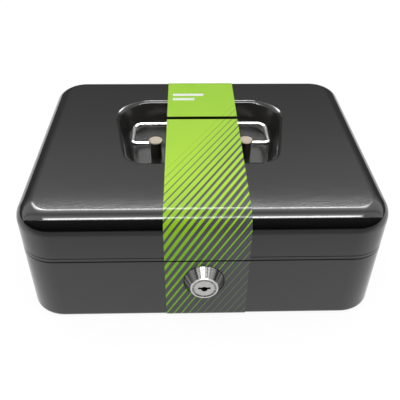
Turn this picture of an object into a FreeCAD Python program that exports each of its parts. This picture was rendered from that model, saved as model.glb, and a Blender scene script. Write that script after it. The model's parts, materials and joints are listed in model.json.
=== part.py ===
import FreeCAD
import Part
import Sketcher
import os
import re

# Cash box in drawn sheet steel: a lid on two back hinges, a wire handle in a well, a cam lock and a coin tray.
# Millimetres. The origin is the centre of the footprint on the resting plane, the front faces -Y and +Z is up.

SIZES = {
    # Box
    "box_width": 250,
    "box_depth": 200,
    "box_height": 90,
    "corner_radius": 25,
    "top_radius": 12.5,
    "bottom_radius": 3.5,
    "sheet_gauge": 1,
    "seam_height": 55,
    "seam_gap": 0.5,
    "shoulder_radius": 0.7,
    "lid_clearance": 0.5,
    "neck_height": 8,
    "hem_height": 2.3,
    "hem_groove": 0.5,
    # Handle well in the lid
    "well_front": 34.5,
    "well_rear": 56,
    "well_side_room": 2.1,
    "well_flare": 34,
    "well_depth": 18,
    "well_taper": 17,
    "well_front_radius": 16,
    "well_rear_radius": 26,
    "well_foot_radius": 5,
    "well_rim_radius": 3.5,
    # Handle
    "wire_dia": 3.6,
    "handle_span": 105.9,
    "handle_reach": 29.2,
    "handle_grip_bend": 6.8,
    "handle_toe_bend": 3.6,
    "pivot_drop": 6,
    "pivot_setback": 0.5,
    "pivot_clearance": 0.08,
    "pivot_entry": 1.5,
    "pivot_end_gap": 0.4,
    "stud_spacing": 70,
    "stud_dia": 8.5,
    "stud_head_dia": 10.9,
    "stud_head_thick": 1.2,
    "stud_head_crown": 0.4,
    "stud_head_gap": 0.3,
    "stud_tenon_dia": 5,
    "stud_peen_dia": 8,
    "stud_peen_thick": 1.2,
    "stud_washer_dia": 12,
    "stud_washer_thick": 1,
    # Hinges
    "hinge_spacing": 150,
    "hinge_length": 42,
    "hinge_gap": 0.3,
    "knuckle_dia": 5,
    "hinge_pin_dia": 2.6,
    "hinge_pin_clearance": 0.05,
    "hinge_pin_head_dia": 4,
    "hinge_pin_head_thick": 0.8,
    "leaf_gauge": 1,
    "base_leaf_height": 14,
    "lid_leaf_height": 17,
    "lid_opening": 105,
    "stop_thick": 1.6,
    "stop_gap": 0.1,
    "rivet_spacing": 28,
    "base_rivet_drop": 9,
    "lid_rivet_rise": 12.5,
    "rivet_dia": 3,
    "rivet_head_dia": 5.5,
    "rivet_head_rise": 1.4,
    "rivet_tail_dia": 4.6,
    "rivet_tail_thick": 0.9,
    # Lock
    "lock_height": 36,
    "bezel_dia": 28,
    "bezel_face_dia": 18.8,
    "bezel_length": 7.6,
    "bezel_rim": 1,
    "bezel_sink": 0.5,
    "barrel_dia": 16,
    "barrel_flats": 14,
    "barrel_length": 10,
    "barrel_clearance": 0.1,
    "plug_head_dia": 14,
    "plug_head_length": 3,
    "plug_dia": 11,
    "plug_clearance": 0.08,
    "plug_sink": 0.3,
    "plug_end_play": 0.15,
    "keyway_width": 8.4,
    "keyway_height": 1.7,
    "keyway_round": 4.4,
    "keyway_depth": 9,
    "lock_washer_dia": 23,
    "lock_washer_thick": 0.8,
    "nut_circle_dia": 23,
    "nut_thick": 2.6,
    "drive_side": 6,
    "drive_clearance": 0.05,
    "cam_thick": 2,
    "cam_hub_dia": 15,
    "finger_inner_dia": 24.4,
    "finger_outer_dia": 32,
    "finger_start": 242,
    "finger_end": 152,
    "web_angle": 24,
    "cam_screw_dia": 3.6,
    "cam_screw_length": 7,
    "cam_screw_head_dia": 7,
    "cam_screw_head_thick": 2.2,
    # Catch on the lid
    "catch_width": 10,
    "catch_gauge": 1.5,
    "catch_weld_height": 8,
    "catch_lip_rise": 9,
    "catch_setback": 6.2,
    "catch_lip_length": 7,
    "catch_bend": 1,
    # Coin tray and its ledges
    "tray_clearance": 3,
    "tray_top": 52,
    "tray_depth": 36,
    "tray_wall": 1.8,
    "tray_flange_thick": 2,
    "tray_notch_width": 50,
    "tray_notch_clearance": 2.5,
    "tray_notch_radius": 4,
    "cup_count": 5,
    "cup_depth": 82,
    "cup_corner_radius": 7,
    "cup_floor_radius": 5,
    "ledge_width": 7,
    "ledge_height": 12,
    "ledge_length": 120,
    "ledge_gauge": 1,
    # Card sleeve
    "sleeve_width": 57,
    "sleeve_offset": 1.8,
    "card_thick": 0.4,
    "card_gap": 0.1,
    "card_end": 0.4,
    "card_slot_clearance": 0.6,
    "card_lock_clearance": 0.5,
}

document = FreeCAD.newDocument("cash_box")
sheet = document.addObject("Spreadsheet::Sheet", "Sizes")
for row, (alias, number) in enumerate(SIZES.items(), start=1):
    sheet.set(f"A{row}", alias)
    sheet.set(f"B{row}", str(number))
    sheet.setAlias(f"B{row}", alias)
document.recompute()

# Places that several pieces share, as expressions of the sheet's sizes
SHOULDER = "(seam_height - seam_gap / 2)"
LID_EDGE = "(seam_height + seam_gap / 2)"
NECK_INSET = "(sheet_gauge + lid_clearance)"
NECK_INNER = "(2 * sheet_gauge + lid_clearance)"
NECK_TOP = f"({SHOULDER} + neck_height)"
FRONT = "(-box_depth / 2)"
BACK = "(box_depth / 2)"
WELL_FRONT_WIDTH = "(handle_span + well_side_room)"
WELL_REAR_WIDTH = f"({WELL_FRONT_WIDTH} + well_flare)"
WELL_FLOOR = "(box_height - well_depth)"
WELL_UNDER = "(box_height - well_depth - sheet_gauge)"
PIVOT_Y = "(-pivot_setback)"
PIVOT_Z = "(box_height - pivot_drop)"
HINGE_Y = "(box_depth / 2 + hinge_gap + knuckle_dia / 2)"
HINGE_Z = "seam_height"
BEZEL_FACE = "(-box_depth / 2 - bezel_length)"
BARREL_END = "(-box_depth / 2 + barrel_length)"
CAM_FRONT = f"({BARREL_END} + plug_end_play)"
CAM_REAR = f"({CAM_FRONT} + cam_thick)"
CATCH_Y = "(-box_depth / 2 + catch_setback)"
CATCH_LIP_END = f"({CATCH_Y} + catch_gauge + catch_lip_length)"
TRAY_SEAT = "(tray_top - tray_flange_thick)"
WORD = re.compile(r"[a-z_]+")
SIDES = (("left", -1), ("right", 1))
CENTRE_LINES = {"x": -2, "y": -1}


def linked(expression):
    """The expression with each size named through the sheet."""
    return WORD.sub(lambda word: f"Sizes.{word[0]}" if word[0] in SIZES else word[0], expression)


def amount(expression):
    return float(sheet.evalExpression(linked(expression)))


def bind(thing, path, expression):
    thing.setExpression(path, linked(expression))


def place(thing, x="0", y="0", z="0"):
    for axis, expression in zip("xyz", (x, y, z)):
        bind(thing, f"Placement.Base.{axis}", expression)
    return thing


def turned(thing, axis, angle):
    thing.Placement = FreeCAD.Placement(thing.Placement.Base, FreeCAD.Rotation(FreeCAD.Vector(*axis), angle))
    return thing


# Part primitives and booleans


def primitive(kind, name, **sizes):
    thing = document.addObject(kind, name)
    for prop, expression in sizes.items():
        bind(thing, prop, expression)
    return thing


def rod_y(name, diameter, length, x="0", y="0", z="0"):
    """A round rod along +Y from the given point."""
    thing = primitive("Part::Cylinder", name, Radius=f"({diameter}) / 2", Height=length)
    return place(turned(thing, (1, 0, 0), -90), x, y, z)


def rod_x(name, diameter, length, x="0", y="0", z="0"):
    """A round rod along +X from the given point."""
    thing = primitive("Part::Cylinder", name, Radius=f"({diameter}) / 2", Height=length)
    return place(turned(thing, (0, 1, 0), 90), x, y, z)


def rod_z(name, diameter, length, x="0", y="0", z="0"):
    thing = primitive("Part::Cylinder", name, Radius=f"({diameter}) / 2", Height=length)
    return place(thing, x, y, z)


def block(name, width, depth, height, x="0", y="0", z="0"):
    """A box centred on x, with its front at y and its bottom at z."""
    thing = primitive("Part::Box", name, Length=width, Width=depth, Height=height)
    return place(thing, f"{x} - ({width}) / 2", y, z)


def fuse(name, *things):
    joined = document.addObject("Part::MultiFuse", name)
    joined.Shapes = list(things)
    return joined


def cut(name, base, *tools):
    result = document.addObject("Part::Cut", name)
    result.Base = base
    result.Tool = tools[0] if len(tools) == 1 else fuse(f"{name}_tools", *tools)
    return result


def common(name, first, second):
    result = document.addObject("Part::MultiCommon", name)
    result.Shapes = [first, second]
    return result


def group(name, *things):
    """Separate solids that share one node."""
    together = document.addObject("Part::Compound", name)
    together.Links = list(things)
    return together


# Sketches and features of a body


def new_body(name):
    return document.addObject("PartDesign::Body", name)


def new_sketch(body, name, role="XY_Plane", offset="0"):
    sketch = body.newObject("Sketcher::SketchObject", f"{body.Name}_{name}")
    plane = next(feature for feature in body.Origin.OriginFeatures if feature.Role == role)
    sketch.AttachmentSupport = [(plane, "")]
    sketch.MapMode = "FlatFace"
    bind(sketch, "AttachmentOffset.Base.z", offset)
    return sketch


def pin(sketch, geometry, point, x, y):
    """Hold a point of the sketch at x, y from its origin."""
    for axis, expression in (("x", x), ("y", y)):
        value = amount(expression)
        if abs(value) < 1e-9:
            sketch.addConstraint(Sketcher.Constraint("PointOnObject", geometry, point, CENTRE_LINES[axis]))
            continue
        ends = (-1, 1, geometry, point) if value > 0 else (geometry, point, -1, 1)
        index = sketch.addConstraint(Sketcher.Constraint(f"Distance{axis.upper()}", *ends, abs(value)))
        bind(sketch, f"Constraints[{index}]", expression if value > 0 else f"-({expression})")


def add_polyline(sketch, points, closed=True):
    """Straight lines through the points, each point held at its own place; gives the lines' numbers."""
    spots = [FreeCAD.Vector(amount(x), amount(y), 0) for x, y in points]
    ends = spots[1:] + spots[:1] if closed else spots[1:]
    lines = [sketch.addGeometry(Part.LineSegment(a, b)) for a, b in zip(spots, ends)]
    for line, following in zip(lines, lines[1:] + lines[:1] if closed else lines[1:]):
        sketch.addConstraint(Sketcher.Constraint("Coincident", line, 2, following, 1))
    for line, (x, y) in zip(lines, points):
        pin(sketch, line, 1, x, y)
    if not closed:
        pin(sketch, lines[-1], 2, *points[-1])
    return lines


def add_circle(sketch, diameter, x="0", y="0"):
    spot = FreeCAD.Vector(amount(x), amount(y), 0)
    circle = sketch.addGeometry(Part.Circle(spot, FreeCAD.Vector(0, 0, 1), amount(diameter) / 2))
    pin(sketch, circle, 3, x, y)
    index = sketch.addConstraint(Sketcher.Constraint("Diameter", circle, amount(diameter)))
    bind(sketch, f"Constraints[{index}]", diameter)


def rectangle(width, depth):
    """Corners of a rectangle centred on the sketch's origin."""
    x, y = f"({width}) / 2", f"({depth}) / 2"
    return [(f"-{x}", f"-{y}"), (x, f"-{y}"), (x, y), (f"-{x}", y)]


def pad(body, sketch, length, midplane=False, reverse=False):
    feature = body.newObject("PartDesign::Pad", f"{sketch.Name}_pad")
    feature.Profile = sketch
    feature.SideType = "Symmetric" if midplane else "One side"
    feature.Reversed = reverse
    bind(feature, "Length", length)
    document.recompute()
    return feature


def pocket(body, sketch, length, taper=None, reverse=False):
    """Cut the sketch into the body, and stop if nothing was cut."""
    before = body.Tip.Shape.Volume
    feature = body.newObject("PartDesign::Pocket", f"{sketch.Name}_pocket")
    feature.Profile = sketch
    feature.Reversed = reverse
    bind(feature, "Length", length)
    if taper:
        bind(feature, "TaperAngle", taper)
    document.recompute()
    if not feature.Shape.Volume < before:
        raise RuntimeError(f"{feature.Name} cuts nothing")
    return feature


def revolve(body, sketch, axis):
    feature = body.newObject("PartDesign::Revolution", f"{sketch.Name}_revolution")
    feature.Profile = sketch
    feature.ReferenceAxis = (sketch, [axis])
    feature.Angle = 360
    document.recompute()
    return feature


def fillet(body, name, radius, wanted):
    """Round the edges of the body's last feature that pass the test."""
    last = body.Tip
    edges = [f"Edge{number}" for number, edge in enumerate(last.Shape.Edges, start=1) if wanted(edge.BoundBox)]
    feature = body.newObject("PartDesign::Fillet", f"{body.Name}_{name}")
    feature.Base = (last, edges)
    bind(feature, "Radius", radius)
    document.recompute()
    return feature


def near(value, expression):
    return abs(value - amount(expression)) < 1e-3


def upright(box):
    return box.XLength < 1e-6 and box.YLength < 1e-6


def level(expression):
    """A test for edges that lie flat at one height."""
    return lambda box: near(box.ZMin, expression) and near(box.ZMax, expression)


# Rounded blocks that the shells and the sleeve are made from


def rounded_block(name, inset, bottom, top):
    """The box's footprint drawn in by inset, with its upright corners rounded, from bottom to top."""
    body = new_body(name)
    sketch = new_sketch(body, "outline", offset=bottom)
    add_polyline(sketch, rectangle(f"box_width - 2 * ({inset})", f"box_depth - 2 * ({inset})"))
    pad(body, sketch, f"{top} - ({bottom})")
    fillet(body, "corners", f"corner_radius - ({inset})", upright)
    return body


def base_block(name, inset, top):
    """A block of the base's form, with a rounded bottom edge."""
    body = rounded_block(name, inset, inset, top)
    fillet(body, "bottom_edge", f"bottom_radius - ({inset})", level(inset))
    return body


def lid_block(name, inset, bottom):
    """A block of the lid's form, with a rounded top edge."""
    top = f"(box_height - ({inset}))"
    body = rounded_block(name, inset, bottom, top)
    fillet(body, "top_edge", f"top_radius - ({inset})", level(top))
    return body


def sink_well(body, inset):
    """Press the handle well into a lid block: inset is how far this face lies below the painted face."""
    top = f"(box_height - ({inset}))"
    floor = f"({WELL_FLOOR} - ({inset}))"
    slope = "(well_flare / 2 / (well_rear + well_front))"
    spread = f"(({inset}) * (1 / cos(well_taper * 1 deg) - tan(well_taper * 1 deg)))"
    skew = f"({spread} * sqrt(1 + {slope}^2))"
    front = f"-(well_front + {spread})"
    rear = f"(well_rear + {spread})"
    front_half = f"({WELL_FRONT_WIDTH} / 2 + {skew} - {spread} * {slope})"
    rear_half = f"({WELL_REAR_WIDTH} / 2 + {skew} + {spread} * {slope})"
    sketch = new_sketch(body, "well", offset=top)
    corners = [(f"-{front_half}", front), (front_half, front), (rear_half, rear), (f"-{rear_half}", rear)]
    add_polyline(sketch, corners)
    pocket(body, sketch, "well_depth", taper="-well_taper")

    def wall_corner(at_front):
        return lambda box: near(box.ZMin, floor) and near(box.ZMax, top) and (box.Center.y < 0) == at_front

    def rim(box):
        inside = max(-box.XMin, box.XMax) < amount(f"{rear_half} + 1") and box.YMax < amount(f"{rear} + 1")
        return near(box.ZMin, top) and inside and box.YMin > amount(f"{front} - 1")

    fillet(body, "well_rear_corners", f"well_rear_radius + ({inset})", wall_corner(False))
    fillet(body, "well_front_corners", f"well_front_radius + ({inset})", wall_corner(True))
    fillet(body, "well_foot", f"well_foot_radius + ({inset})", level(floor))
    fillet(body, "well_rim", f"well_rim_radius - ({inset})", rim)


# Shells


def rivet_holes(name, height):
    """Rods through the back wall where the hinge rivets go."""
    holes = []
    for side, sign in SIDES:
        for end in (-1, 1):
            x = f"({sign} * hinge_spacing / 2 + {end} * rivet_spacing / 2)"
            hole = rod_y(f"{name}_{side}", "rivet_dia", "3 * sheet_gauge", x, f"{BACK} - 2 * sheet_gauge", height)
            holes.append(hole)
    return holes


def double_flat_rod(name, diameter, flats, length, y):
    """A rod along Y at the lock with two upright flats."""
    rod = rod_y(f"{name}_rod", diameter, length, "0", y, "lock_height")
    slab = block(f"{name}_slab", flats, length, diameter, "0", y, f"lock_height - ({diameter}) / 2")
    return common(name, rod, slab)


def make_base_shell():
    outer = base_block("base_outer", "0", SHOULDER)
    fillet(outer, "shoulder", "shoulder_radius", level(SHOULDER))
    neck = rounded_block("base_neck", NECK_INSET, f"({SHOULDER} - sheet_gauge)", NECK_TOP)
    cavity = base_block("base_cavity", "sheet_gauge", f"({SHOULDER} - sheet_gauge)")
    mouth = rounded_block("base_mouth", NECK_INNER, f"({SHOULDER} - 2 * sheet_gauge)", f"({NECK_TOP} + 1)")
    lock_hole = double_flat_rod(
        "base_lock_hole", "barrel_dia + 2 * barrel_clearance", "barrel_flats + 2 * barrel_clearance",
        "3 * sheet_gauge", f"{FRONT} - sheet_gauge")
    holes = rivet_holes("base_rivet_hole", f"{HINGE_Z} - base_rivet_drop")
    return cut("base_shell", fuse("base_walls", outer, neck), cavity, mouth, lock_hole, *holes)


def hem_ring():
    """The ring that the lid's hem groove takes away."""
    height = "hem_groove"
    bottom = f"({LID_EDGE} + hem_height)"
    outer = rounded_block("hem_outer", "-1 * hem_groove", bottom, f"({bottom} + {height})")
    inner = rounded_block("hem_inner", "hem_groove", bottom, f"({bottom} + {height})")
    return cut("hem_ring", outer, inner)


def make_lid_shell():
    outer = lid_block("lid_outer", "0", LID_EDGE)
    sink_well(outer, "0")
    inner = lid_block("lid_inner", "sheet_gauge", f"({LID_EDGE} - 1)")
    sink_well(inner, "sheet_gauge")
    stud_holes = [
        rod_z(f"stud_hole_{side}", "stud_tenon_dia", "3 * sheet_gauge",
              f"{sign} * stud_spacing / 2", PIVOT_Y, f"{WELL_FLOOR} - 2 * sheet_gauge")
        for side, sign in SIDES]
    holes = rivet_holes("lid_rivet_hole", f"{HINGE_Z} + lid_rivet_rise")
    return cut("lid_shell", outer, inner, hem_ring(), *stud_holes, *holes)


# Hinges


def knuckles(name, x, thirds):
    """Barrel lengths on the given thirds of the hinge, with an end gap between neighbours."""
    third = "(hinge_length / 3)"
    rods = []
    for third_number in thirds:
        start = f"({x} + {third_number} * {third} - {third} / 2 + hinge_gap / 2)"
        rods.append(rod_x(f"{name}_knuckle", "knuckle_dia", f"{third} - hinge_gap", start, HINGE_Y, HINGE_Z))
    return rods


def leaf(name, x, thirds, other_thirds, height, upward):
    """A hinge leaf on the back wall, cleared round the other leaf's knuckles and drilled for pin and rivets."""
    third = "(hinge_length / 3)"
    reach = "(knuckle_dia / 2 + hinge_gap)"
    bottom = HINGE_Z if upward else f"({HINGE_Z} - {height})"
    plate = block(f"{name}_plate", "hinge_length", "leaf_gauge", height, x, BACK, bottom)
    reliefs = [
        block(f"{name}_relief", f"{third} + hinge_gap", "2 * leaf_gauge", f"2 * {reach}",
              f"({x} + {number} * {third})", f"{BACK} - leaf_gauge / 2", f"{HINGE_Z} - {reach}")
        for number in other_thirds]
    bore = rod_x(f"{name}_bore", "hinge_pin_dia + 2 * hinge_pin_clearance", "2 * hinge_length",
                 f"({x} - hinge_length)", HINGE_Y, HINGE_Z)
    rivet_z = f"{HINGE_Z} + lid_rivet_rise" if upward else f"{HINGE_Z} - base_rivet_drop"
    rivets = [
        rod_y(f"{name}_rivet_hole", "rivet_dia", "3 * leaf_gauge", f"({x} + {end} * rivet_spacing / 2)",
              f"{BACK} - leaf_gauge", rivet_z)
        for end in (-1, 1)]
    relieved = cut(f"{name}_relieved", plate, *reliefs)
    solids = [relieved, *knuckles(name, x, thirds)]
    if upward:
        solids.append(stop_nose(name, x))
    return cut(name, fuse(f"{name}_joined", *solids), bore, *rivets)


def stop_nose(name, x):
    """The nose on the lid's knuckle that meets the base leaf when the lid is fully open."""
    room = "(knuckle_dia / 2 + hinge_gap - leaf_gauge - stop_gap)"
    past = "((lid_opening - 90) * 1 deg)"
    reach = f"(({room} - stop_thick / 2 * cos({past})) / sin({past}))"
    return block(f"{name}_stop", "hinge_length / 3 - hinge_gap", reach, "stop_thick", x, HINGE_Y,
                 f"{HINGE_Z} - stop_thick / 2")


def hinge_pin(name, x):
    """A pin with a head outside each end knuckle."""
    half = "(hinge_length / 2 + hinge_pin_clearance)"
    shank = rod_x(f"{name}_shank", "hinge_pin_dia", f"2 * {half}", f"({x} - {half})", HINGE_Y, HINGE_Z)
    first = rod_x(f"{name}_first_head", "hinge_pin_head_dia", "hinge_pin_head_thick",
                  f"({x} - {half} - hinge_pin_head_thick)", HINGE_Y, HINGE_Z)
    second = rod_x(f"{name}_second_head", "hinge_pin_head_dia", "hinge_pin_head_thick",
                   f"({x} + {half})", HINGE_Y, HINGE_Z)
    return fuse(name, shank, first, second)


def rivet(name, x, z):
    """A round-head rivet: head on the leaf, shank through leaf and wall, tail inside."""
    body = new_body(name)
    sketch = new_sketch(body, "profile", "YZ_Plane")
    inside = f"({BACK} - sheet_gauge)"
    tail = f"({inside} - rivet_tail_thick)"
    seat = f"({BACK} + leaf_gauge)"
    crown = f"({seat} + rivet_head_rise)"
    add_polyline(sketch, [
        (tail, "0"), (crown, "0"), (crown, "rivet_head_dia / 4"), (seat, "rivet_head_dia / 2"),
        (seat, "rivet_dia / 2"), (inside, "rivet_dia / 2"), (inside, "rivet_tail_dia / 2"),
        (tail, "rivet_tail_dia / 2")])
    revolve(body, sketch, "H_Axis")
    fillet(body, "crown", "rivet_head_rise / 2", lambda box: near(box.YMin, crown) and near(box.YMax, crown))
    return place(body, x, "0", z)


def make_hinges():
    pieces = []
    rivets = {"base": [], "lid": []}
    heights = {"base": f"{HINGE_Z} - base_rivet_drop", "lid": f"{HINGE_Z} + lid_rivet_rise"}
    for side, sign in SIDES:
        x = f"({sign} * hinge_spacing / 2)"
        pieces.append(leaf(f"hinge_base_leaf_{side}", x, (-1, 1), (0,), "base_leaf_height", False))
        pieces.append(leaf(f"hinge_lid_leaf_{side}", x, (0,), (-1, 1), "lid_leaf_height", True))
        pieces.append(hinge_pin(f"hinge_pin_{side}", x))
        for leaf_name, row in rivets.items():
            for end in (-1, 1):
                spot = f"({x} + {end} * rivet_spacing / 2)"
                row.append(rivet(f"{leaf_name}_rivet_{side}_{'inner' if end != sign else 'outer'}", spot,
                                 heights[leaf_name]))
    return pieces + [group(f"hinge_{leaf_name}_rivets", *row) for leaf_name, row in rivets.items()]


# Handle


def make_stud(side, sign):
    """A turned stud: disc head, body with a side hole for the wire, tenon through the well, peened end."""
    body = new_body(f"handle_stud_{side}")
    washer_under = f"({WELL_UNDER} - stud_washer_thick)"
    head_under = f"({PIVOT_Z} + wire_dia / 2 + stud_head_gap)"
    head_top = f"({head_under} + stud_head_thick)"
    sketch = new_sketch(body, "profile", "XZ_Plane")
    add_polyline(sketch, [
        ("0", f"{washer_under} - stud_peen_thick"), ("stud_peen_dia / 2", f"{washer_under} - stud_peen_thick"),
        ("stud_peen_dia / 2", washer_under), ("stud_tenon_dia / 2", washer_under),
        ("stud_tenon_dia / 2", WELL_FLOOR), ("stud_dia / 2", WELL_FLOOR), ("stud_dia / 2", head_under),
        ("stud_head_dia / 2", head_under), ("stud_head_dia / 2", f"{head_top} - stud_head_crown"),
        ("stud_head_dia / 2 - stud_head_crown", head_top), ("0", head_top)])
    revolve(body, sketch, "V_Axis")
    hole = new_sketch(body, "wire_hole", "YZ_Plane", "stud_dia")
    add_circle(hole, "wire_dia + 2 * pivot_clearance", "0", PIVOT_Z)
    pocket(body, hole, "stud_dia + pivot_entry + pivot_end_gap")
    if sign < 0:
        turned(body, (0, 0, 1), 180)
    return place(body, f"{sign} * stud_spacing / 2", PIVOT_Y)


def make_stud_washers():
    rings = []
    for side, sign in SIDES:
        spot = (f"{sign} * stud_spacing / 2", PIVOT_Y, f"{WELL_UNDER} - stud_washer_thick")
        disc = rod_z(f"stud_washer_disc_{side}", "stud_washer_dia", "stud_washer_thick", *spot)
        hole = rod_z(f"stud_washer_hole_{side}", "stud_tenon_dia", "stud_washer_thick", *spot)
        rings.append(cut(f"stud_washer_{side}", disc, hole))
    return group("handle_stud_washers", *rings)


def round_corner(sketch, first, second, radius):
    """Round the corner between two lines of a sketch that follow each other."""
    corner = sketch.Geometry[first].EndPoint
    toward = [sketch.Geometry[first].StartPoint, sketch.Geometry[second].EndPoint]
    picks = [corner + (spot - corner) * 0.3 for spot in toward]
    before = len(sketch.Geometry)
    sketch.fillet(first, second, picks[0], picks[1], amount(radius), True, True)
    arc = next(i for i in range(before, len(sketch.Geometry)) if isinstance(sketch.Geometry[i], Part.ArcOfCircle))
    index = sketch.addConstraint(Sketcher.Constraint("Radius", arc, amount(radius)))
    bind(sketch, f"Constraints[{index}]", radius)


def make_bail():
    """The bent wire handle: both ends turn in along X to the studs, the grip lies to the rear."""
    body = new_body("handle_bail")
    end = "(stud_spacing / 2 - pivot_entry)"
    half = "(handle_span / 2)"
    path = new_sketch(body, "path")
    lines = add_polyline(path, [
        (end, "0"), (half, "0"), (half, "handle_reach"), (f"-{half}", "handle_reach"), (f"-{half}", "0"),
        (f"-{end}", "0")], closed=False)
    bends = ("handle_toe_bend", "handle_grip_bend", "handle_grip_bend", "handle_toe_bend")
    for first, second, bend in zip(lines, lines[1:], bends):
        round_corner(path, first, second, bend)
    section = new_sketch(body, "section", "YZ_Plane", end)
    add_circle(section, "wire_dia")
    document.recompute()
    pipe = body.newObject("PartDesign::AdditivePipe", "handle_bail_pipe")
    pipe.Profile = section
    pipe.Spine = (path, [f"Edge{number}" for number in range(1, len(path.Shape.Edges) + 1)])
    document.recompute()
    return place(body, "0", PIVOT_Y, PIVOT_Z)


# Lock


def make_lock_housing():
    """Conical bezel with a rimmed face and a flatted barrel, bored in two steps for the plug."""
    body = new_body("lock_housing")
    head_bore = "(plug_head_dia / 2 + plug_clearance)"
    bore = "(plug_dia / 2 + plug_clearance)"
    step = f"({BEZEL_FACE} + plug_sink + plug_head_length)"
    rim = "(bezel_face_dia / 2 - bezel_rim)"
    sketch = new_sketch(body, "profile", "YZ_Plane")
    add_polyline(sketch, [
        (f"{BEZEL_FACE} + bezel_sink", head_bore), (f"{BEZEL_FACE} + bezel_sink", rim), (BEZEL_FACE, rim),
        (BEZEL_FACE, "bezel_face_dia / 2"), (FRONT, "bezel_dia / 2"), (FRONT, "barrel_dia / 2"),
        (BARREL_END, "barrel_dia / 2"), (BARREL_END, bore), (step, bore), (step, head_bore)])
    revolve(body, sketch, "H_Axis")
    flats = new_sketch(body, "flats", "XZ_Plane", f"-{FRONT}")
    for sign in (-1, 1):
        near_x, far_x = f"{sign} * barrel_flats / 2", f"{sign} * barrel_dia"
        add_polyline(flats, [(near_x, "-barrel_dia"), (far_x, "-barrel_dia"), (far_x, "barrel_dia"),
                             (near_x, "barrel_dia")])
    pocket(body, flats, "2 * barrel_length")
    return place(body, z="lock_height")


def make_lock_plug():
    """The turning plug: head in the bezel, stepped shank, keyway, square drive and screw hole at the rear."""
    body = new_body("lock_plug")
    face = f"({BEZEL_FACE} + plug_sink)"
    head_end = f"({face} + plug_head_length - plug_clearance)"
    sketch = new_sketch(body, "profile", "YZ_Plane")
    add_polyline(sketch, [
        (face, "0"), (face, "plug_head_dia / 2"), (head_end, "plug_head_dia / 2"), (head_end, "plug_dia / 2"),
        (CAM_FRONT, "plug_dia / 2"), (CAM_FRONT, "0")])
    revolve(body, sketch, "H_Axis")
    drive = new_sketch(body, "drive", "XZ_Plane", f"-{CAM_FRONT}")
    add_polyline(drive, rectangle("drive_side", "drive_side"))
    pad(body, drive, "cam_thick", reverse=True)
    screw_hole = new_sketch(body, "screw_hole", "XZ_Plane", f"-{CAM_REAR}")
    add_circle(screw_hole, "cam_screw_dia")
    pocket(body, screw_hole, "cam_screw_length", reverse=True)
    slot = new_sketch(body, "key_slot", "XZ_Plane", f"-{face}")
    add_polyline(slot, rectangle("keyway_width", "keyway_height"))
    pocket(body, slot, "keyway_depth")
    middle = new_sketch(body, "key_middle", "XZ_Plane", f"-{face}")
    add_circle(middle, "keyway_round", "0", "-keyway_height / 2")
    pocket(body, middle, "keyway_depth")
    return place(body, z="lock_height")


def make_lock_clamp():
    """The washer and the nut that hold the housing from inside the front wall."""
    wall = f"({FRONT} + sheet_gauge)"
    washer_rear = f"({wall} + lock_washer_thick)"
    hole = "barrel_dia + 2 * barrel_clearance"
    disc = rod_y("lock_washer_disc", "lock_washer_dia", "lock_washer_thick", "0", wall, "lock_height")
    washer_hole = rod_y("lock_washer_hole", hole, "lock_washer_thick", "0", wall, "lock_height")
    prism = primitive("Part::Prism", "lock_nut_prism", Circumradius="nut_circle_dia / 2", Height="nut_thick")
    prism.Polygon = 6
    place(turned(prism, (1, 0, 0), -90), "0", washer_rear, "lock_height")
    nut_hole = rod_y("lock_nut_hole", hole, "nut_thick", "0", washer_rear, "lock_height")
    return [cut("lock_washer", disc, washer_hole), cut("lock_nut", prism, nut_hole)]


def sector(name, inner, outer, start, end):
    """A flat ring sector about the lock's axis, angles counted from +X towards +Z."""
    thing = primitive("Part::Cylinder", f"{name}_disc", Radius=f"({outer}) / 2", Height="cam_thick",
                      Angle=f"({start}) - ({end})")
    hole = primitive("Part::Cylinder", f"{name}_hole", Radius=f"({inner}) / 2", Height="cam_thick")
    ring = cut(name, thing, hole)
    spin = FreeCAD.Rotation(FreeCAD.Vector(0, -1, 0), amount(end))
    lay = FreeCAD.Rotation(FreeCAD.Vector(1, 0, 0), 90)
    ring.Placement = FreeCAD.Placement(FreeCAD.Vector(), spin * lay)
    return place(ring, "0", CAM_REAR, "lock_height")


def make_lock_cam():
    """A hooked cam: a hub on the square drive, and a finger on a web that swings over the catch's lip."""
    hub = rod_y("cam_hub", "cam_hub_dia", "cam_thick", "0", CAM_FRONT, "lock_height")
    web = sector("cam_web", "drive_side", "finger_outer_dia", "finger_start", "finger_start - web_angle")
    finger = sector("cam_finger", "finger_inner_dia", "finger_outer_dia", "finger_start", "finger_end")
    side = "(drive_side + 2 * drive_clearance)"
    square = block("cam_square", side, "cam_thick", side, "0", CAM_FRONT, f"lock_height - {side} / 2")
    return cut("lock_cam", fuse("cam_plate", hub, web, finger), square)


def make_cam_screw():
    shank = rod_y("cam_screw_shank", "cam_screw_dia", "cam_screw_length", "0", f"{CAM_REAR} - cam_screw_length",
                  "lock_height")
    head = rod_y("cam_screw_head", "cam_screw_head_dia", "cam_screw_head_thick", "0", CAM_REAR, "lock_height")
    return fuse("cam_screw", shank, head)


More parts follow.
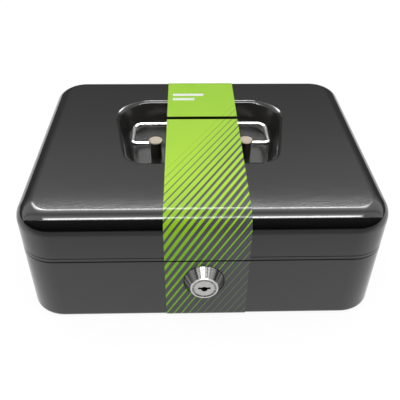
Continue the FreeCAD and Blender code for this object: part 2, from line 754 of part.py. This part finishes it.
def make_lid_catch():
    """A bent strip: welded to the lid's front, stepped in past the neck, with a lip under the cam's finger."""
    body = new_body("lid_catch")
    wall = f"({FRONT} + sheet_gauge)"
    step = f"({NECK_TOP} + catch_gauge)"
    lip = "(lock_height + catch_lip_rise)"
    sketch = new_sketch(body, "profile", "YZ_Plane")
    add_polyline(sketch, [
        (wall, f"{step} + catch_weld_height"), (wall, step), (CATCH_Y, step), (CATCH_Y, lip),
        (CATCH_LIP_END, lip), (CATCH_LIP_END, f"{lip} + catch_gauge"),
        (f"{CATCH_Y} + catch_gauge", f"{lip} + catch_gauge"), (f"{CATCH_Y} + catch_gauge", f"{step} + catch_gauge"),
        (f"{wall} + catch_gauge", f"{step} + catch_gauge"), (f"{wall} + catch_gauge", f"{step} + catch_weld_height")])
    pad(body, sketch, "catch_width", midplane=True)
    bends = ((wall, step), (f"{CATCH_Y} + catch_gauge", f"{step} + catch_gauge"), (CATCH_Y, lip))
    spots = [(amount(y), amount(z)) for y, z in bends]

    def outside_bend(box):
        centre = (box.Center.y, box.Center.z)
        lengthwise = box.XLength > 1
        return lengthwise and any(abs(centre[0] - y) < 1e-3 and abs(centre[1] - z) < 1e-3 for y, z in spots)

    fillet(body, "bends", "catch_bend", outside_bend)
    return body


# Coin tray


def tray_outline(sketch, half_width, half_depth, notch_half, notch_back):
    add_polyline(sketch, [
        (f"-{half_width}", f"-{half_depth}"), (f"-{notch_half}", f"-{half_depth}"), (f"-{notch_half}", notch_back),
        (notch_half, notch_back), (notch_half, f"-{half_depth}"), (half_width, f"-{half_depth}"),
        (half_width, half_depth), (f"-{half_width}", half_depth)])


def make_coin_tray():
    """A moulded tray: coin cups in a row at the back, three wells in front and a notch round the lock."""
    body = new_body("coin_tray")
    flange_w = f"(box_width / 2 - {NECK_INNER} - tray_clearance)"
    flange_d = f"(box_depth / 2 - {NECK_INNER} - tray_clearance)"
    tub_w = "(box_width / 2 - sheet_gauge - ledge_width - tray_clearance)"
    tub_d = f"({flange_d} - tray_wall)"
    notch_back = f"({CAM_REAR} + cam_screw_head_thick + tray_notch_clearance)"
    notch_half = "(tray_notch_width / 2)"
    flange_corner = f"(corner_radius - {NECK_INNER} - tray_clearance)"
    tub_corner = f"({flange_corner} - tray_wall)"
    bottom = "(tray_top - tray_depth)"
    floor = f"({bottom} + tray_wall)"

    tub = new_sketch(body, "tub", offset=bottom)
    tray_outline(tub, tub_w, tub_d, notch_half, notch_back)
    pad(body, tub, "tray_depth")
    flange = new_sketch(body, "flange", offset=TRAY_SEAT)
    tray_outline(flange, flange_w, flange_d, notch_half, notch_back)
    pad(body, flange, "tray_flange_thick")

    inner_w = f"({tub_w} - tray_wall)"
    inner_d = f"({tub_d} - tray_wall)"
    pitch = f"((2 * {inner_w} + tray_wall) / cup_count)"
    divide = f"({inner_d} - cup_depth)"
    cup = new_sketch(body, "cup", offset="tray_top")
    add_polyline(cup, [
        (f"-{inner_w}", divide), (f"-{inner_w} + {pitch} - tray_wall", divide),
        (f"-{inner_w} + {pitch} - tray_wall", inner_d), (f"-{inner_w}", inner_d)])
    first_cup = pocket(body, cup, "tray_depth - tray_wall")
    cups = body.newObject("PartDesign::LinearPattern", "coin_tray_cups")
    cups.Originals = [first_cup]
    cups.Direction = (cup, ["H_Axis"])
    bind(cups, "Length", f"{pitch} * (cup_count - 1)")
    bind(cups, "Occurrences", "cup_count")
    body.Tip = cups
    document.recompute()

    front = new_sketch(body, "front_wells", offset="tray_top")
    rear_y = f"({divide} - tray_wall)"
    side_x = f"({notch_half} + tray_wall)"
    add_polyline(front, [(f"-{side_x} + tray_wall", f"{notch_back} + tray_wall"),
                         (f"{side_x} - tray_wall", f"{notch_back} + tray_wall"),
                         (f"{side_x} - tray_wall", rear_y), (f"-{side_x} + tray_wall", rear_y)])
    for sign in (-1, 1):
        add_polyline(front, [(f"{sign} * {side_x}", f"-{inner_d}"), (f"{sign} * {inner_w}", f"-{inner_d}"),
                             (f"{sign} * {inner_w}", rear_y), (f"{sign} * {side_x}", rear_y)])
    pocket(body, front, "tray_depth - tray_wall")

    def post(x, y, bottom_z):
        """A test for upright edges at a corner, given in one quarter, that start at one height."""
        return lambda box: (upright(box) and near(abs(box.Center.x), x) and near(abs(box.Center.y), y)
                            and near(box.ZMin, bottom_z))

    outer_corner = post(inner_w, inner_d, floor)
    fillet(body, "outer_wells", f"{tub_corner} - tray_wall", outer_corner)
    fillet(body, "well_corners", "cup_corner_radius", lambda box: upright(box) and near(box.ZMin, floor)
           and near(box.ZMax, "tray_top") and not outer_corner(box))
    fillet(body, "well_floors", "cup_floor_radius", level(floor))
    fillet(body, "tub_corners", tub_corner, post(tub_w, tub_d, bottom))
    fillet(body, "flange_corners", flange_corner, post(flange_w, flange_d, TRAY_SEAT))
    fillet(body, "notch_corners", "tray_notch_radius", lambda box: upright(box) and near(box.YMin, notch_back)
           and near(abs(box.Center.x), notch_half))
    return body


def make_ledge(side, sign):
    """An angle strip welded to the side wall, which carries the tray's flange."""
    body = new_body(f"tray_ledge_{side}")
    wall = "(box_width / 2 - sheet_gauge)"
    inner = f"({wall} - ledge_width)"
    sketch = new_sketch(body, "profile", "XZ_Plane")
    add_polyline(sketch, [
        (wall, TRAY_SEAT), (inner, TRAY_SEAT), (inner, f"{TRAY_SEAT} - ledge_gauge"),
        (f"{wall} - ledge_gauge", f"{TRAY_SEAT} - ledge_gauge"),
        (f"{wall} - ledge_gauge", f"{TRAY_SEAT} - ledge_height"), (wall, f"{TRAY_SEAT} - ledge_height")])
    pad(body, sketch, "ledge_length", midplane=True)
    if sign < 0:
        turned(body, (0, 0, 1), 180)
    return place(body)


# Card sleeve


def band(name, y, depth, z, height):
    """A block as wide as the sleeve."""
    return block(name, "sleeve_width", depth, height, "sleeve_offset", y, z)


def make_sleeve():
    """Card strips over the lid and the base, parted at the seam and where the handle's grip swings through."""
    skin = "(card_gap + card_thick)"
    lid_card = cut("lid_card", lid_block("lid_card_outer", f"-1 * {skin}", LID_EDGE),
                   lid_block("lid_card_inner", "-1 * card_gap", f"({LID_EDGE} - 1)"))
    base_card = cut("base_card", base_block("base_card_outer", f"-1 * {skin}", SHOULDER),
                    base_block("base_card_inner", "-1 * card_gap", f"({SHOULDER} + 1)"))
    crossing = f"({PIVOT_Y} + sqrt(handle_reach^2 - (pivot_drop + {skin} / 2)^2))"
    half_slot = "(wire_dia / 2 + card_slot_clearance)"
    lid_bottom = f"({LID_EDGE} + card_end)"
    lid_rise = "box_height"
    reach = "box_depth"
    base_bottom = "card_end"
    base_rise = f"({SHOULDER} - 2 * card_end)"
    lock_hole = rod_y("card_lock_hole", "bezel_dia + 2 * card_lock_clearance", "4 * card_thick",
                      "0", f"{FRONT} - 3 * card_thick", "lock_height")
    front_of_slot = band("lid_front_band", f"{crossing} - {half_slot} - {reach}", reach, lid_bottom, lid_rise)
    rear_of_slot = band("lid_rear_band", f"{crossing} + {half_slot}", reach, lid_bottom, lid_rise)
    base_front = band("base_front_band", f"-{reach}", reach, base_bottom, base_rise)
    base_rear = band("base_rear_band", "0", reach, base_bottom, base_rise)
    return [
        common("sleeve_lid_front", lid_card, front_of_slot),
        common("sleeve_lid_rear", lid_card, rear_of_slot),
        cut("sleeve_base_front", common("sleeve_base_front_strip", base_card, base_front), lock_hole),
        common("sleeve_base_rear", base_card, base_rear)]


def make_all():
    studs = [make_stud(side, sign) for side, sign in SIDES]
    ledges = [make_ledge(side, sign) for side, sign in SIDES]
    lock = [make_lock_housing(), *make_lock_clamp(), make_lock_plug(), make_lock_cam(), make_cam_screw()]
    handle = [make_bail(), *studs, make_stud_washers()]
    shells = [make_base_shell(), make_lid_shell(), make_lid_catch()]
    return [*shells, *make_hinges(), *lock, *handle, make_coin_tray(), *ledges, *make_sleeve()]


def check(pieces):
    faulty = [thing.Name for thing in document.Objects if {"Invalid", "Error"} & set(thing.State)]
    if faulty:
        raise RuntimeError(f"objects that failed: {faulty}")
    for piece in pieces:
        if piece.Shape.isNull() or not piece.Shape.isValid() or not piece.Shape.Solids:
            raise RuntimeError(f"{piece.Name} has no valid solid")


def write(pieces):
    os.makedirs("parts", exist_ok=True)
    for piece in pieces:
        piece.Label = piece.Name
        piece.Shape.exportStep(os.path.join("parts", f"{piece.Label}.step"))


pieces = make_all()
document.recompute()
check(pieces)
write(pieces)
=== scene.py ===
import json
import math

import bpy
from mathutils import Matrix, Vector


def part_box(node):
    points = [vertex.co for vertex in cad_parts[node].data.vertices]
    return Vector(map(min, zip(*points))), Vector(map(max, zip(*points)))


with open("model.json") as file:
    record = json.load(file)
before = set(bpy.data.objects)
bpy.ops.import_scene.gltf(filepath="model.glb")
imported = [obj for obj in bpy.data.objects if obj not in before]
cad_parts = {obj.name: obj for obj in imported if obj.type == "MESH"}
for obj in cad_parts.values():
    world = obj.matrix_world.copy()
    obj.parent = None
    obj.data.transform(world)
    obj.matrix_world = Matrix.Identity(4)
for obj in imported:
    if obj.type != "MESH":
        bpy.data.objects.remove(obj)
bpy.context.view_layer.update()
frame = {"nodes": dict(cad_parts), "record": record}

MM = 0.001
NODES = frame["nodes"]
WHITE = (1, 1, 1, 1)

# Camera fitted to the photograph: places and lens in millimetres, angles in degrees
CAMERA_PLACE = (-12.0, -355.0, 308.75)
CAMERA_YAW, CAMERA_PITCH, CAMERA_ROLL = 1.92, 38.38, 0.71
CAMERA_LENS, CAMERA_SENSOR = 48.28, 36.0
CAMERA_NEAR = 10.0

# Noise: how rough it is, and the range that most of its values lie in
NOISE_ROUGHNESS = 0.55
NOISE_LOW, NOISE_HIGH = 0.3, 0.7

# The colour sockets of a mix node, which has a set of sockets for each type of data
MIX_FACTOR, MIX_FIRST, MIX_SECOND, MIX_RESULT = 0, 6, 7, 2

# The lid's pressed well, in millimetres: each pair is where its look, a duller finish and painted light,
# starts and where it is full
WELL_SIDE = (78.0, 74.0)
WELL_FRONT, WELL_REAR = (-46.0, -40.0), (68.0, 62.0)
WELL_TOP, WELL_FOOT = (89.9, 87.5), (64.0, 66.0)

# Lock and studs, in millimetres: the lock's axis, where its flat face gives way to the cone, and turned rings
LOCK_X, LOCK_HEIGHT = 0.0, 36.0
LOCK_FACE_END = (-107.4, -107.0)
LOCK_RING_PITCH, STUD_RING_PITCH = 0.9, 1.1
# Streaks of painted reflection on the lock's cone, counted per radian around its axis
CONE_REFLECTION_STREAKS_PER_RADIAN = 3.2

# Sleeve, in millimetres: x runs across it, and s falls from the lid's rear edge to the foot of the front
SLEEVE_LEFT, SLEEVE_RIGHT = -26.7, 30.3
SLEEVE_TOP = 90.5
# Where the green's painted light and shade change: lighter towards the front of the top, darker down the
# front
GREEN_REAR, GREEN_MIDDLE, GREEN_FOOT = 60.0, -60.0, -130.0

# Slanted stripes: their direction, the stretch over which they widen, and half widths as shares of the pitch.
# The shift only keeps their count above zero, and there are none behind the rear limit
STRIPE_PITCH = 4.6
STRIPE_ACROSS, STRIPE_ALONG = 0.86, 0.50
STRIPE_START, STRIPE_END = -12.0, 92.0
STRIPE_HALF_START, STRIPE_HALF_END = -0.03, 0.50
STRIPE_EDGE = 0.04
STRIPE_SHIFT = 200.0
STRIPE_REAR = 70.0

# Plain bars on the lid's flat top: the white ones by right end and range of s, and a dark one right across
BAR_LEFT = -22.5
WHITE_BARS = ((4.0, 66.0, 70.0), (-4.0, 58.0, 62.0))
DARK_BAR = (91.0, 96.0)
DARK_BAR_MARGIN = 1.0
FLAT_TOP = 88.0

# The room seen in reflections: brightness at angles from straight up, towards the front where positive
ROOM = ((-90, 0.12), (-66, 0.23), (-60, 0.46), (-55, 0.80), (-52.2, 0.95), (-51.2, 1.3), (-50.4, 2.2),
        (-48.8, 20.0), (-43, 20.0), (-38, 4.0), (-33, 2.4), (-25, 1.6), (-10, 1.0), (2, 1.8), (9, 3.4),
        (13, 5.0), (15, 20.0), (21, 20.0), (24, 3.0), (28, 0.15), (90, 0.01))
ROOM_PEAK = 20.0

# Its two bright strips end to the sides: the x of the direction where they fade, and the brightness beyond
STRIP_REACH, STRIP_FADE = 0.30, 0.12
STRIP_BEYOND = 1.6

# Soft light for all other rays: brightness below and above, by the z of the direction
SKY_LOW, SKY_HIGH = 0.15, 1.2
SKY_LOW_HEIGHT, SKY_HIGH_HEIGHT = -0.1, 0.9

# Floor, in metres: near and far are stretches in front of the box, with the glow that reflections see there
FLOOR_HALF = 3.0
FLOOR_GREY = 0.86
FLOOR_CAMERA_GLOW = 1.06
FLOOR_CAMERA_SHARE, FLOOR_MIRROR_SHARE = 0.85, 0.9
FLOOR_NEAR, FLOOR_NEAR_GLOW = (-0.25, -0.15), (0.55, 1.1)
FLOOR_FAR, FLOOR_FAR_GLOW = (-0.9, -0.55), (0.05, 1.0)

# Soft boxes: place, width and height in metres; all face one point, with the same power in watts
SOFT_BOXES = {"top_box": ((0.0, 0.15, 1.3), 1.2, 0.9), "front_box": ((-0.5, -1.0, 0.9), 0.7, 0.5)}
SOFT_BOX_TARGET = (0, 0, 0.05)
SOFT_BOX_POWER = 0.5


# Node trees


class Tree:
    """A short way to write a node tree."""

    def __init__(self, tree):
        self.tree = tree

    def add(self, kind, inputs=None, **settings):
        """A new node; inputs maps socket names or numbers to values or to other sockets."""
        made = self.tree.nodes.new(kind)
        for name, value in settings.items():
            setattr(made, name, value)
        for key, value in (inputs or {}).items():
            self.feed(made.inputs[key], value)
        return made

    def feed(self, socket, value):
        """Link a socket to another one, or set its value."""
        if isinstance(value, bpy.types.NodeSocket):
            self.tree.links.new(value, socket)
        else:
            socket.default_value = value

    def maths(self, operation, *values):
        return self.add("ShaderNodeMath", dict(enumerate(values)), operation=operation).outputs[0]

    def product(self, first, *others):
        for other in others:
            first = self.maths("MULTIPLY", first, other)
        return first

    def mix(self, factor, first, second):
        """A colour between first and second."""
        inputs = {MIX_FACTOR: factor, MIX_FIRST: first, MIX_SECOND: second}
        return self.add("ShaderNodeMix", inputs, data_type="RGBA").outputs[MIX_RESULT]

    def ramp(self, value, low, high, start=0.0, end=1.0):
        """Value mapped from low..high to start..end, held at the ends."""
        inputs = dict(enumerate((value, low, high, start, end)))
        return self.add("ShaderNodeMapRange", inputs, clamp=True).outputs[0]

    def past(self, place, limits):
        """0 before the first of two limits in millimetres, 1 past the second."""
        return self.ramp(place, limits[0] * MM, limits[1] * MM)

    def between(self, value, low, high):
        return self.product(self.maths("GREATER_THAN", value, low), self.maths("LESS_THAN", value, high))

    def noise(self, vector, scale, detail=3.0):
        inputs = {"Vector": vector, "Scale": scale, "Detail": detail, "Roughness": NOISE_ROUGHNESS}
        return self.add("ShaderNodeTexNoise", inputs).outputs["Fac"]

    def spread(self, noise, start, end):
        """A noise's usual range mapped to start..end."""
        return self.ramp(noise, NOISE_LOW, NOISE_HIGH, start, end)

    def stretched(self, vector, scale):
        return self.add("ShaderNodeMapping", {"Vector": vector, "Scale": scale}).outputs[0]

    def split(self, vector):
        """The x, y and z of a vector."""
        return tuple(self.add("ShaderNodeSeparateXYZ", {"Vector": vector}).outputs)

    def rings(self, first, second, pitch):
        """A wave from 0 to 1 in rings about the point of no offset; the pitch is in millimetres."""
        squares = self.maths("ADD", self.product(first, first), self.product(second, second))
        radius = self.maths("SQRT", squares)
        wave = self.maths("SINE", self.product(radius, 2 * math.pi / (pitch * MM)))
        return self.ramp(wave, -1.0, 1.0)

    def bump(self, height, strength, distance):
        inputs = {"Height": height, "Strength": strength, "Distance": distance}
        return self.add("ShaderNodeBump", inputs).outputs[0]


class Look(Tree):
    """A material's node tree, with its principled shader and the object coordinates."""

    def __init__(self, name, **constants):
        self.material = bpy.data.materials.new(name)
        self.material.use_nodes = True
        super().__init__(self.material.node_tree)
        self.shader = self.tree.nodes["Principled BSDF"]
        for key, value in constants.items():
            self.shader.inputs[key.replace("_", " ")].default_value = value
        self.place = self.add("ShaderNodeTexCoord").outputs["Object"]

    def vary(self, name, value):
        self.feed(self.shader.inputs[name], value)

    def finish(self, colour, roughness, normal):
        """Link what every material varies, and give the material."""
        self.vary("Base Color", colour)
        self.vary("Roughness", roughness)
        self.vary("Normal", normal)
        return self.material


def grey(value, warm=0.0):
    return (value * (1 + warm), value, value * (1 - warm), 1)


# Materials


def black_paint():
    """Gloss enamel: a faint cloud in the black, orange peel and fine rubbed marks; duller in the well, and
    lighter there as painted light.
    """
    look = Look("black_enamel", IOR=1.6)
    x, y, z = look.split(look.place)
    well = look.product(look.past(look.maths("ABSOLUTE", x), WELL_SIDE), look.past(y, WELL_FRONT),
                        look.past(y, WELL_REAR), look.past(z, WELL_TOP), look.past(z, WELL_FOOT))
    # The well's black is lighter than the rest of the enamel: painted soft light in the recess
    deep_black, cloud_black, well_black_painted_light = grey(0.0012, 0.04), grey(0.0024, 0.05), grey(0.022, 0.05)
    specular, well_specular, well_dullness = 0.5, 0.24, 0.15
    black = look.mix(look.noise(look.place, scale=18.0), deep_black, cloud_black)
    colour = look.mix(well, black, well_black_painted_light)
    look.vary("Specular IOR Level", look.ramp(well, 0.0, 1.0, specular, well_specular))
    rubbed = look.noise(look.stretched(look.place, (30.0, 160.0, 160.0)), scale=2.0, detail=5.0)
    gloss = look.spread(rubbed, start=0.045, end=0.075)
    roughness = look.maths("ADD", gloss, look.product(well, well_dullness))
    peel = look.noise(look.place, scale=700.0, detail=2.0)
    return look.finish(colour, roughness, look.bump(peel, strength=0.05, distance=0.0004))


def bright_chrome():
    """Bright plating with soft polishing marks."""
    look = Look("bright_chrome", Metallic=1.0)
    dark, light = grey(0.74, 0.01), grey(0.84, 0.01)
    colour = look.mix(look.noise(look.place, scale=60.0), dark, light)
    marks = look.noise(look.place, scale=900.0, detail=4.0)
    roughness = look.ramp(marks, low=0.3, high=0.75, start=0.06, end=0.16)
    return look.finish(colour, roughness, look.bump(marks, strength=0.04, distance=0.0002))


def lock_nickel():
    """Nickel on the lock: a bright face with fine turned rings, and a cone with painted reflections as
    streaks along its slope.
    """
    look = Look("lock_nickel", Metallic=1.0)
    x, y, z = look.split(look.place)
    across = look.maths("SUBTRACT", x, LOCK_X * MM)
    above = look.maths("SUBTRACT", z, LOCK_HEIGHT * MM)
    cone = look.past(y, LOCK_FACE_END)
    # The cone's dark and light streaks by angle around the lock's axis are painted reflections
    dark_reflection_streak, light_reflection_streak = grey(0.05, 0.01), grey(0.24, 0.01)
    dark_ring, light_ring = grey(0.46, 0.01), grey(0.60, 0.01)
    cone_dullness = 0.14
    turn = look.product(look.maths("ARCTAN2", across, above), CONE_REFLECTION_STREAKS_PER_RADIAN)
    around = look.add("ShaderNodeCombineXYZ", {"X": turn}).outputs[0]
    streaks = look.ramp(look.noise(around, scale=1.0, detail=2.0), low=0.44, high=0.54)
    slope = look.mix(streaks, dark_reflection_streak, light_reflection_streak)
    face = look.mix(look.rings(across, above, LOCK_RING_PITCH), dark_ring, light_ring)
    grain = look.noise(look.place, scale=900.0, detail=4.0)
    dull = look.spread(grain, start=0.14, end=0.24)
    roughness = look.maths("ADD", dull, look.product(cone, cone_dullness))
    normal = look.bump(grain, strength=0.04, distance=0.0002)
    return look.finish(look.mix(cone, face, slope), roughness, normal)


def zinc_steel():
    """Plain plated steel with a rolled grain."""
    look = Look("zinc_steel", Metallic=1.0)
    dark, light = grey(0.46, 0.02), grey(0.62, 0.03)
    grain = look.noise(look.stretched(look.place, (60.0, 1400.0, 500.0)), scale=1.0, detail=4.0)
    roughness = look.spread(grain, start=0.28, end=0.46)
    normal = look.bump(grain, strength=0.12, distance=0.0002)
    return look.finish(look.mix(grain, dark, light), roughness, normal)


def turned_stud(x, y):
    """Warm nickel on a turned head: rings about the stud's own axis."""
    look = Look("turned_nickel", Metallic=1.0)
    place_x, place_y, _ = look.split(look.place)
    across = look.maths("SUBTRACT", place_x, x)
    along = look.maths("SUBTRACT", place_y, y)
    rings = look.rings(across, along, STUD_RING_PITCH)
    groove, crest = (0.16, 0.135, 0.105, 1), (0.30, 0.265, 0.215, 1)
    roughness = look.spread(look.noise(look.place, scale=1500.0), start=0.34, end=0.5)
    normal = look.bump(rings, strength=0.6, distance=0.00025)
    return look.finish(look.mix(rings, groove, crest), roughness, normal)


def tray_plastic():
    """Moulded black plastic with a fine spark-eroded grain."""
    look = Look("tray_plastic", IOR=1.46)
    dark, light = grey(0.022), grey(0.032)
    colour = look.mix(look.noise(look.place, scale=25.0), dark, light)
    grain = look.noise(look.place, scale=1600.0, detail=2.0)
    roughness = look.spread(grain, start=0.45, end=0.6)
    return look.finish(colour, roughness, look.bump(grain, strength=0.2, distance=0.0003))


def sleeve_green_and_painted_shade(look, s):
    """Green, lighter towards the front of the top as painted light and darker down the front as painted
    shade, with a faint mottle.
    """
    # The middle green is painted light and the deep green at the foot is painted shade; the mottle is the
    # card's own
    light, lit_middle_green, shaded_foot_green = (0.345, 0.63, 0.042, 1), (0.45, 0.74, 0.042, 1), (0.20, 0.49, 0.003, 1)
    mottle_green = (0.30, 0.58, 0.03, 1)
    mottle = look.spread(look.noise(look.place, scale=45.0), start=0.0, end=0.08)
    green = look.mix(look.ramp(s, GREEN_REAR, GREEN_MIDDLE), light, lit_middle_green)
    green = look.mix(look.ramp(s, GREEN_MIDDLE, GREEN_FOOT), green, shaded_foot_green)
    return look.mix(mottle, green, mottle_green)


def sleeve_stripes(look, x, y, s):
    """Where the slanted stripes are: they widen towards the lower right and leave the rear plain."""
    slant = look.maths("SUBTRACT", look.product(x, STRIPE_ACROSS), look.product(s, STRIPE_ALONG))
    turns = look.maths("DIVIDE", look.maths("ADD", slant, STRIPE_SHIFT), STRIPE_PITCH)
    off_centre = look.maths("ABSOLUTE", look.maths("SUBTRACT", look.maths("FRACT", turns), 0.5))
    half_width = look.ramp(slant, STRIPE_START, STRIPE_END, STRIPE_HALF_START, STRIPE_HALF_END)
    stripe = look.ramp(look.maths("SUBTRACT", half_width, off_centre), 0.0, STRIPE_EDGE)
    return look.product(stripe, look.maths("LESS_THAN", y, STRIPE_REAR))


def sleeve_card():
    """Printed card, green with charcoal stripes and plain bars; its coat stands for the film's gloss."""
    look = Look("printed_card", IOR=1.1, Coat_Weight=1.0, Coat_Roughness=0.05, Coat_IOR=1.3)
    x, y, z = (look.maths("DIVIDE", part, MM) for part in look.split(look.place))
    s = look.maths("ADD", y, look.maths("SUBTRACT", z, SLEEVE_TOP))
    top = look.maths("GREATER_THAN", z, FLAT_TOP)

    def bar(left, right, s_low, s_high):
        return look.product(look.between(x, left, right), look.between(s, s_low, s_high), top)

    charcoal, white, dark = (0.080, 0.080, 0.086, 1), (0.86, 0.88, 0.84, 1), (0.04, 0.045, 0.045, 1)
    colour = look.mix(sleeve_stripes(look, x, y, s), sleeve_green_and_painted_shade(look, s), charcoal)
    for right, s_low, s_high in WHITE_BARS:
        colour = look.mix(bar(BAR_LEFT, right, s_low, s_high), colour, white)
    across = bar(SLEEVE_LEFT - DARK_BAR_MARGIN, SLEEVE_RIGHT + DARK_BAR_MARGIN, *DARK_BAR)
    colour = look.mix(across, colour, dark)
    fibre = look.noise(look.place, scale=1100.0, detail=4.0)
    roughness = look.spread(fibre, start=0.34, end=0.46)
    return look.finish(colour, roughness, look.bump(fibre, strength=0.05, distance=0.0002))


def dress():
    """Give every CAD node its material."""
    finishes = {
        "black_paint": black_paint(), "steel": zinc_steel(), "bright_chrome": bright_chrome(),
        "tray_plastic": tray_plastic(), "printed_card": sleeve_card(),
    }
    nickel = lock_nickel()
    for entry in frame["record"]["subparts"]:
        name = entry["node"]
        if entry["material_slot"] == "stud_steel":
            low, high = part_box(name)
            finish = turned_stud((low[0] + high[0]) / 2, (low[1] + high[1]) / 2)
        elif name in ("lock_housing", "lock_plug"):
            finish = nickel
        else:
            finish = finishes[entry["material_slot"]]
        mesh = NODES[name].data
        mesh.materials.clear()
        mesh.materials.append(finish)


# Studio


def make_camera():
    yaw, pitch, roll = (math.radians(angle) for angle in (CAMERA_YAW, CAMERA_PITCH, CAMERA_ROLL))
    ahead = Vector((math.sin(yaw) * math.cos(pitch), math.cos(yaw) * math.cos(pitch), -math.sin(pitch)))
    flat_right = Vector((math.cos(yaw), -math.sin(yaw), 0))
    flat_up = flat_right.cross(ahead)
    right = flat_right * math.cos(roll) + flat_up * math.sin(roll)
    up = -flat_right * math.sin(roll) + flat_up * math.cos(roll)
    data = bpy.data.cameras.new("photo_camera")
    data.sensor_width = CAMERA_SENSOR
    data.lens = CAMERA_LENS
    data.clip_start = CAMERA_NEAR * MM
    camera = bpy.data.objects.new("photo_camera", data)
    turn = Matrix((right, up, -ahead)).transposed().to_4x4()
    camera.matrix_world = Matrix.Translation(Vector(CAMERA_PLACE) * MM) @ turn
    bpy.context.scene.collection.objects.link(camera)
    bpy.context.scene.camera = camera


def soft_box(name, place, width, height):
    """A weak area lamp that reflections don't show."""
    data = bpy.data.lights.new(name, "AREA")
    data.shape = "RECTANGLE"
    data.size, data.size_y = width, height
    data.energy = SOFT_BOX_POWER
    lamp = bpy.data.objects.new(name, data)
    lamp.location = place
    lamp.visible_glossy = False
    lamp.rotation_euler = (Vector(SOFT_BOX_TARGET) - Vector(place)).to_track_quat("-Z", "Y").to_euler()
    bpy.context.scene.collection.objects.link(lamp)


def room_level(level):
    """A brightness as a grey, which the world's strength brings back to its level."""
    return grey(level / ROOM_PEAK)


def room_colour(tree, angle):
    """The room's brightness at an angle from straight up, in radians."""
    room = tree.add("ShaderNodeValToRGB", {"Fac": tree.ramp(angle, -math.pi / 2, math.pi / 2)})
    points = room.color_ramp.elements
    points[0].color = room_level(ROOM[0][1])
    points[-1].color = room_level(ROOM[-1][1])
    for degrees, level in ROOM[1:-1]:
        points.new((degrees + 90) / 180).color = room_level(level)
    return room.outputs["Color"]


def make_world():
    """White for the camera, a room with bright strips for reflections, soft light from above for the rest."""
    world = bpy.data.worlds.new("studio")
    world.use_nodes = True
    bpy.context.scene.world = world
    tree = Tree(world.node_tree)
    back = world.node_tree.nodes["Background"]
    rays = tree.add("ShaderNodeLightPath").outputs
    x, y, z = tree.split(tree.add("ShaderNodeTexCoord").outputs["Generated"])
    room = room_colour(tree, tree.maths("ARCTAN2", tree.product(y, -1.0), z))
    strip_end = STRIP_REACH + STRIP_FADE
    reach = tree.ramp(tree.maths("ABSOLUTE", x), STRIP_REACH, strip_end, 1.0, STRIP_BEYOND / ROOM_PEAK)
    seen = tree.maths("MINIMUM", room, reach)
    height = tree.ramp(z, SKY_LOW_HEIGHT, SKY_HIGH_HEIGHT)
    sky = tree.mix(height, room_level(SKY_LOW), room_level(SKY_HIGH))
    lit = tree.mix(rays["Is Glossy Ray"], sky, seen)
    tree.feed(back.inputs["Color"], tree.mix(rays["Is Camera Ray"], lit, WHITE))
    tree.feed(back.inputs["Strength"], tree.ramp(rays["Is Camera Ray"], 0.0, 1.0, ROOM_PEAK, 1.0))


def floor_material():
    """Mostly a glow for the camera, with a matt share for the shadow; reflections see it darken in front."""
    made = bpy.data.materials.new("floor")
    made.use_nodes = True
    made.cycles.emission_sampling = "NONE"
    tree = Tree(made.node_tree)
    made.node_tree.nodes.remove(made.node_tree.nodes["Principled BSDF"])
    rays = tree.add("ShaderNodeLightPath").outputs
    depth = tree.split(tree.add("ShaderNodeTexCoord").outputs["Object"])[1]
    camera = rays["Is Camera Ray"]
    mirrored = tree.maths("MAXIMUM", rays["Is Glossy Ray"], rays["Is Transmission Ray"])
    near = tree.ramp(depth, *FLOOR_NEAR, *FLOOR_NEAR_GLOW)
    far = tree.ramp(depth, *FLOOR_FAR, *FLOOR_FAR_GLOW)
    camera_glow = tree.product(camera, FLOOR_CAMERA_GLOW)
    strength = tree.maths("MAXIMUM", camera_glow, tree.product(mirrored, near, far))
    glow = tree.add("ShaderNodeEmission", {"Color": WHITE, "Strength": strength})
    matt = tree.add("ShaderNodeBsdfDiffuse", {"Color": grey(FLOOR_GREY)})
    camera_share = tree.product(camera, FLOOR_CAMERA_SHARE)
    share = tree.maths("ADD", camera_share, tree.product(mirrored, FLOOR_MIRROR_SHARE))
    both = tree.add("ShaderNodeMixShader", {0: share, 1: matt.outputs[0], 2: glow.outputs[0]})
    tree.feed(made.node_tree.nodes["Material Output"].inputs["Surface"], both.outputs[0])
    return made


def make_floor():
    """A flat square under the box."""
    corners = [(x * FLOOR_HALF, y * FLOOR_HALF, 0) for x, y in ((-1, -1), (1, -1), (1, 1), (-1, 1))]
    mesh = bpy.data.meshes.new("floor")
    mesh.from_pydata(corners, [], [(0, 1, 2, 3)])
    floor = bpy.data.objects.new("floor", mesh)
    bpy.context.scene.collection.objects.link(floor)
    mesh.materials.append(floor_material())


def make_studio():
    make_camera()
    make_world()
    make_floor()
    for name, (place, width, height) in SOFT_BOXES.items():
        soft_box(name, place, width, height)
    bpy.context.scene.view_settings.view_transform = "Standard"


dress()
make_studio()
